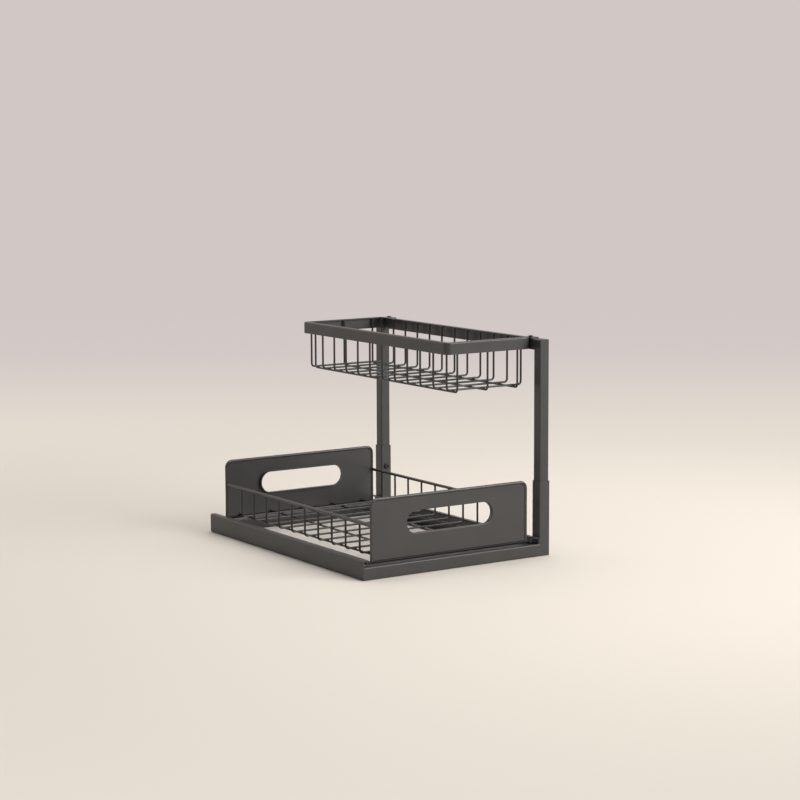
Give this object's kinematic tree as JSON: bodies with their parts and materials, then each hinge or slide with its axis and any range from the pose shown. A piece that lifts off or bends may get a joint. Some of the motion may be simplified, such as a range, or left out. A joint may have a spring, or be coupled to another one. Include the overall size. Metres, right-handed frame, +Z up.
{
  "type": "under sink organizer",
  "caption": "Two-tier under sink organizer: a pull-out wire drawer on rollers in a low metal frame, with a narrow wire basket held above it by posts on one side.",
  "frame": {"origin": "on the surface the organizer stands on, at the middle of its footprint", "axes": "+X towards the posts, -Y towards the handle end that is pulled, +Z up"},
  "size_m": [0.26, 0.356, 0.2591],
  "materials": {
    "powder_coat": "satin charcoal powder coat",
    "nylon": "white nylon",
    "plated_steel": "zinc plated steel",
    "black_screw": "black oxide screws"
  },
  "bodies": {
    "frame": {"left_rail": "powder_coat", "right_rail": "powder_coat", "front_end_bar": "powder_coat", "rear_end_bar": "powder_coat", "front_sleeve": "powder_coat", "rear_sleeve": "powder_coat", "front_post": "powder_coat", "rear_post": "powder_coat", "top_crossbar": "powder_coat", "sleeve_screws": "black_screw", "left_front_axle": "plated_steel", "right_front_axle": "plated_steel", "basket_rim": "powder_coat", "basket_cross_wire_01": "powder_coat", "basket_cross_wire_02": "powder_coat", "basket_cross_wire_03": "powder_coat", "basket_cross_wire_04": "powder_coat", "basket_cross_wire_05": "powder_coat", "basket_cross_wire_06": "powder_coat", "basket_cross_wire_07": "powder_coat", "basket_cross_wire_08": "powder_coat", "basket_cross_wire_09": "powder_coat", "basket_cross_wire_10": "powder_coat", "basket_cross_wire_11": "powder_coat", "basket_cross_wire_12": "powder_coat", "basket_long_wire_1": "powder_coat", "basket_long_wire_2": "powder_coat", "basket_long_wire_3": "powder_coat", "front_hanger_tab": "powder_coat", "rear_hanger_tab": "powder_coat", "tab_screws": "black_screw"},
    "drawer": {"front_panel": "powder_coat", "rear_panel": "powder_coat", "front_end_rod": "powder_coat", "rear_end_rod": "powder_coat", "left_runner": "powder_coat", "right_runner": "powder_coat", "left_rear_bracket": "powder_coat", "right_rear_bracket": "powder_coat", "left_rear_axle": "plated_steel", "right_rear_axle": "plated_steel", "front_floor_rod": "powder_coat", "rear_floor_rod": "powder_coat", "left_fence_rail": "powder_coat", "right_fence_rail": "powder_coat", "drawer_cross_wire_01": "powder_coat", "drawer_cross_wire_02": "powder_coat", "drawer_cross_wire_03": "powder_coat", "drawer_cross_wire_04": "powder_coat", "drawer_cross_wire_05": "powder_coat", "drawer_cross_wire_06": "powder_coat", "drawer_cross_wire_07": "powder_coat", "drawer_cross_wire_08": "powder_coat", "drawer_cross_wire_09": "powder_coat", "drawer_cross_wire_10": "powder_coat", "drawer_long_wires": "powder_coat"},
    "left_front_wheel": {"left_front_roller": "nylon"},
    "right_front_wheel": {"right_front_roller": "nylon"},
    "left_rear_wheel": {"left_rear_roller": "nylon"},
    "right_rear_wheel": {"right_rear_roller": "nylon"}
  },
  "joints": [
    {"name": "drawer_slide", "type": "slide", "parent": "frame", "child": "drawer", "axis": [0, -1, 0], "range_m": [0, 0.22]},
    {"name": "left_front_roller_spin", "type": "hinge", "parent": "frame", "child": "left_front_wheel", "pos_m": [-0.1258, -0.15, 0.0115], "axis": [1, 0, 0], "continuous": true},
    {"name": "left_rear_roller_spin", "type": "hinge", "parent": "drawer", "child": "left_rear_wheel", "pos_m": [-0.1258, 0.148, 0.0115], "axis": [1, 0, 0], "continuous": true},
    {"name": "right_front_roller_spin", "type": "hinge", "parent": "frame", "child": "right_front_wheel", "pos_m": [0.1108, -0.15, 0.0115], "axis": [1, 0, 0], "continuous": true},
    {"name": "right_rear_roller_spin", "type": "hinge", "parent": "drawer", "child": "right_rear_wheel", "pos_m": [0.1108, 0.148, 0.0115], "axis": [1, 0, 0], "continuous": true}
  ],
  "couplings": [
    {"joint": "left_front_roller_spin", "follows": "drawer_slide", "rad_per_m": 121.95},
    {"joint": "left_rear_roller_spin", "follows": "drawer_slide", "rad_per_m": 100},
    {"joint": "right_front_roller_spin", "follows": "drawer_slide", "rad_per_m": 121.95},
    {"joint": "right_rear_roller_spin", "follows": "drawer_slide", "rad_per_m": 100}
  ]
}
